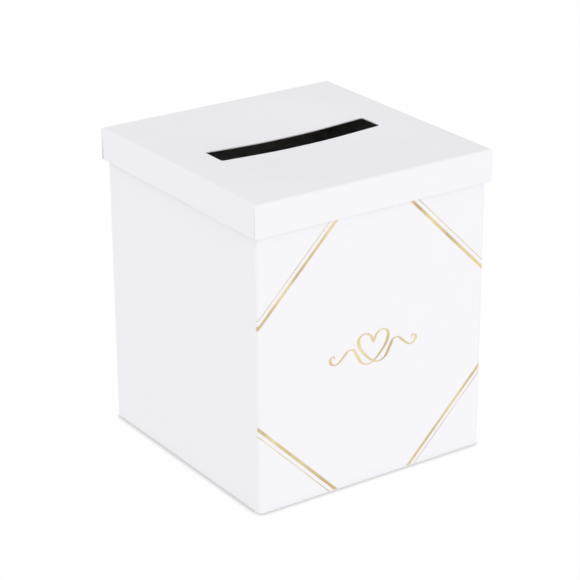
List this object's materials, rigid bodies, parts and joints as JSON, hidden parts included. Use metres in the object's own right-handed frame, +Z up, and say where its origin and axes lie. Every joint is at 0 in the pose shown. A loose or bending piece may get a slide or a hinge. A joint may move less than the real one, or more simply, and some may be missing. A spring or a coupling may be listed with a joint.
{
  "type": "wedding card box",
  "caption": "Square folding-board box that collects cards at a wedding, with a slotted lift-off lid, a tuck-in base and gold foil print on its front.",
  "frame": {"origin": "middle of the base, on the surface that the box stands on", "axes": "+Z up, -Y out of the printed front, and +X to the right of someone who looks at the front; the slot runs along X"},
  "size_m": [0.206, 0.206, 0.237],
  "materials": {
    "white_board": "satin",
    "gold_foil": "satin"
  },
  "bodies": {
    "box": {"front_wall": "white_board", "right_wall": "white_board", "back_wall": "white_board", "left_wall": "white_board", "seam_tab": "white_board", "foil_bold_line_top_left": "gold_foil", "foil_fine_line_top_left": "gold_foil", "foil_bold_line_top_right": "gold_foil", "foil_fine_line_top_right": "gold_foil", "foil_bold_line_bottom_left": "gold_foil", "foil_fine_line_bottom_left": "gold_foil", "foil_bold_line_bottom_right": "gold_foil", "foil_fine_line_bottom_right": "gold_foil", "foil_flourish": "gold_foil"},
    "lid": {"lid_top": "white_board", "lid_rim_front": "white_board", "lid_rim_right": "white_board", "lid_rim_back": "white_board", "lid_rim_left": "white_board", "lid_tab_front_left": "white_board", "lid_tab_front_right": "white_board", "lid_tab_back_left": "white_board", "lid_tab_back_right": "white_board", "lid_lining_front": "white_board", "lid_lining_right": "white_board", "lid_lining_back": "white_board", "lid_lining_left": "white_board"},
    "base": {"base_panel": "white_board"},
    "tuck_flap": {"tuck_flap": "white_board"},
    "dust_flap_left": {"dust_flap_left": "white_board"},
    "dust_flap_right": {"dust_flap_right": "white_board"}
  },
  "joints": [
    {"name": "lid_lift", "type": "slide", "parent": "box", "child": "lid", "axis": [0, 0, 1], "range_m": [0, 0.1]},
    {"name": "base_open", "type": "hinge", "parent": "box", "child": "base", "pos_m": [0, -0.0992, 0.0008], "axis": [-1, 0, 0], "range_deg": [0, 90]},
    {"name": "tuck_unfold", "type": "hinge", "parent": "base", "child": "tuck_flap", "pos_m": [0, 0.0971, 0.0008], "axis": [-1, 0, 0], "range_deg": [0, 76.5]},
    {"name": "dust_open_left", "type": "hinge", "parent": "box", "child": "dust_flap_left", "pos_m": [-0.0992, 0, 0.0017], "axis": [0, 1, 0], "range_deg": [0, 90]},
    {"name": "dust_open_right", "type": "hinge", "parent": "box", "child": "dust_flap_right", "pos_m": [0.0992, 0, 0.0017], "axis": [0, -1, 0], "range_deg": [0, 90]}
  ],
  "couplings": [
    {"joint": "tuck_unfold", "follows": "base_open", "ratio": 0.85},
    {"joint": "dust_open_left", "follows": "base_open", "ratio": 1},
    {"joint": "dust_open_right", "follows": "base_open", "ratio": 1}
  ]
}
